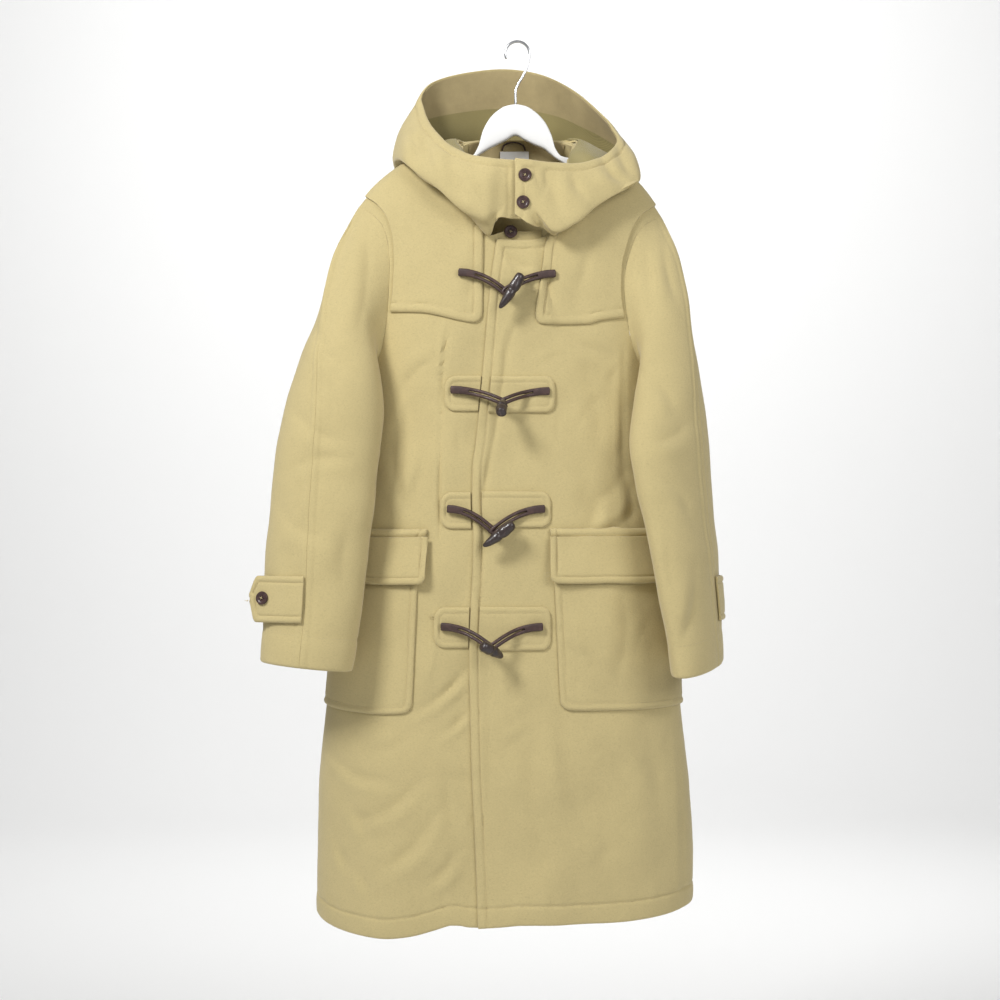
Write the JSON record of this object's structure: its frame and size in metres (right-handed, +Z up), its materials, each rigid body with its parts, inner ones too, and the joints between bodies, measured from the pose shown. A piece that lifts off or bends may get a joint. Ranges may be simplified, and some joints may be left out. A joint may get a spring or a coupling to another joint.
{
  "type": "duffle coat on a hanger",
  "caption": "Long hooded wool duffle coat with toggle fastenings, storm yokes and patch pockets, hanging closed on a plastic hanger with a wire hook.",
  "frame": {"origin": "inside top of the hanger's hook, where it rests on its rod", "axes": "+Z up, front of the coat towards -Y, +X towards the picture's right, which is the wearer's left"},
  "size_m": [0.6471, 0.2574, 1.2354],
  "materials": {
    "wool": "felted heavy wool, camel",
    "facing": "wool facing in shade",
    "lining": "olive twill lining",
    "leather": "dark brown cord",
    "horn": "dark horn",
    "button": "dark brown",
    "label": "plain white, blank",
    "hanger": "smooth white",
    "wire": "polished"
  },
  "bodies": {
    "root": {"front_right": "wool", "front_left": "wool", "back": "wool", "yoke_front_right": "wool", "yoke_front_left": "wool", "yoke_back": "wool", "pocket_right": "wool", "pocket_flap_right": "wool", "pocket_left": "wool", "pocket_flap_left": "wool", "sleeve_front_right": "wool", "sleeve_back_right": "wool", "sleeve_front_left": "wool", "sleeve_back_left": "wool", "hood": "wool", "hood_facing": "facing", "hood_lining": "lining", "neck_facing": "facing", "neck_label": "label", "hanging_loop": "leather", "toggle_patch_left_2": "wool", "toggle_patch_right_2": "wool", "toggle_patch_left_3": "wool", "toggle_patch_right_3": "wool", "toggle_patch_left_4": "wool", "toggle_patch_right_4": "wool", "toggle_cord_right_1": "leather", "toggle_cord_left_1": "leather", "toggle_cord_right_2": "leather", "toggle_cord_left_2": "leather", "toggle_cord_right_3": "leather", "toggle_cord_left_3": "leather", "toggle_cord_right_4": "leather", "toggle_cord_left_4": "leather", "toggle_1": "horn", "toggle_2": "horn", "toggle_3": "horn", "toggle_4": "horn", "throat_button_1": "button", "throat_button_2": "button", "neck_button": "button", "cuff_tab_right": "wool", "cuff_button_right": "button", "cuff_tab_left": "wool", "cuff_button_left": "button", "hanger": "hanger", "hook": "wire"}
  },
  "joints": []
}
